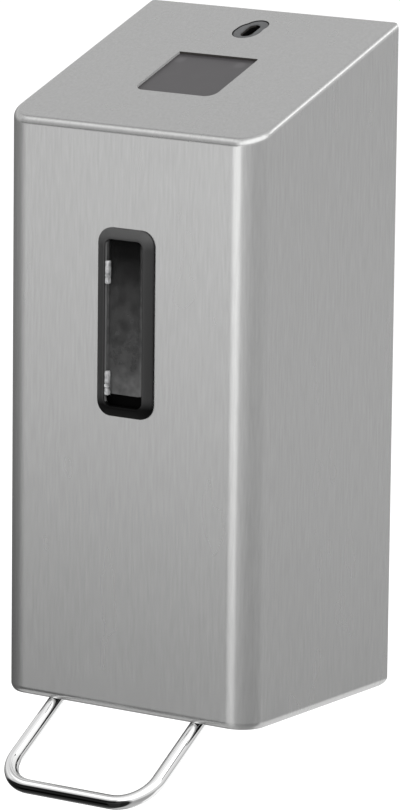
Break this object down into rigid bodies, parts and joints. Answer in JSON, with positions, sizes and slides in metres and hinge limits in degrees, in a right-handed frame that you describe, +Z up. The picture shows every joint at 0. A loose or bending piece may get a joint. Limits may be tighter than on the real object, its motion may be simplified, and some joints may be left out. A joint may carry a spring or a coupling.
{
  "type": "wall-mounted soap dispenser",
  "caption": "Wall soap dispenser: slope-topped steel cover with sight window and lock, inverted bottle, piston pump and a wire bow pushed towards the wall.",
  "frame": {"origin": "centre of the wall plate's back face, which lies on the wall", "axes": "+Z up, +Y into the wall, +X to the right as seen by a person facing the dispenser"},
  "size_m": [0.116, 0.1341, 0.2873],
  "materials": {
    "brushed_stainless": "vertically brushed stainless sheet",
    "bent_steel": "plain zinc-coated sheet and fasteners",
    "chrome_wire": "polished",
    "spring_steel": "drawn spring wire",
    "black_plastic": "satin moulded",
    "grey_plastic": "satin moulded",
    "clear_plastic": "clear moulded",
    "label_plastic": "smooth dark grey tile",
    "lock_brass": "turned",
    "white_plastic": "moulded",
    "bottle_plastic": "blow-moulded, milky",
    "rubber": "moulded",
    "silicone": "moulded, milky"
  },
  "bodies": {
    "wall_unit": {"wall_plate": "bent_steel", "pump_bracket": "bent_steel", "bottle_clip": "bent_steel", "lock_catch": "bent_steel", "lever_shaft": "bent_steel", "stop_bar": "bent_steel", "stop_sleeve": "rubber", "shaft_bush_left": "white_plastic", "shaft_bush_right": "white_plastic", "shaft_clip_left": "bent_steel", "shaft_clip_right": "bent_steel", "bracket_screw_1": "bent_steel", "bracket_screw_2": "bent_steel", "bracket_screw_3": "bent_steel", "bracket_screw_4": "bent_steel", "clip_screw_1": "bent_steel", "clip_screw_2": "bent_steel", "catch_screw_1": "bent_steel", "catch_screw_2": "bent_steel", "bottle": "bottle_plastic", "bottle_cap": "white_plastic", "neck_seal": "silicone", "pump_cylinder": "white_plastic", "inlet_valve": "silicone", "return_spring": "spring_steel"},
    "lever": {"bow": "chrome_wire", "lever_rocker": "black_plastic", "bow_screw_left": "bent_steel", "bow_screw_right": "bent_steel"},
    "piston": {"pump_stem": "white_plastic", "piston_seal": "rubber", "outlet_valve": "silicone", "actuator_collar": "black_plastic"},
    "cover": {"cover_shell": "brushed_stainless", "window_frame": "black_plastic", "window_pane": "clear_plastic", "window_retainer": "black_plastic", "window_clip_upper": "clear_plastic", "window_clip_lower": "clear_plastic", "label_plate": "label_plastic", "lock_housing": "grey_plastic", "lock_nut_left": "bent_steel", "lock_nut_right": "bent_steel"},
    "lock": {"lock_plug": "lock_brass", "lock_cam": "bent_steel", "cam_screw": "bent_steel"}
  },
  "joints": [
    {"name": "bow_hinge", "type": "hinge", "parent": "wall_unit", "child": "lever", "pos_m": [0, -0.07, -0.10843], "axis": [1, 0, 0], "range_deg": [0, 14]},
    {"name": "piston_slide", "type": "slide", "parent": "wall_unit", "child": "piston", "axis": [0, 0, 1], "range_m": [0, 0.0055], "stiffness_N_per_m": 500, "springref_m": -0.016, "deforming": ["return_spring"]},
    {"name": "cover_slide", "type": "slide", "parent": "wall_unit", "child": "cover", "axis": [0, 0, 1], "range_m": [0, 0.245]},
    {"name": "lock_turn", "type": "hinge", "parent": "cover", "child": "lock", "pos_m": [0, -0.01607, 0.12141], "axis": [0, -0.3363, 0.9417], "range_deg": [0, 90]}
  ],
  "couplings": [
    {"joint": "piston_slide", "follows": "bow_hinge", "m_per_rad": 0.022}
  ]
}
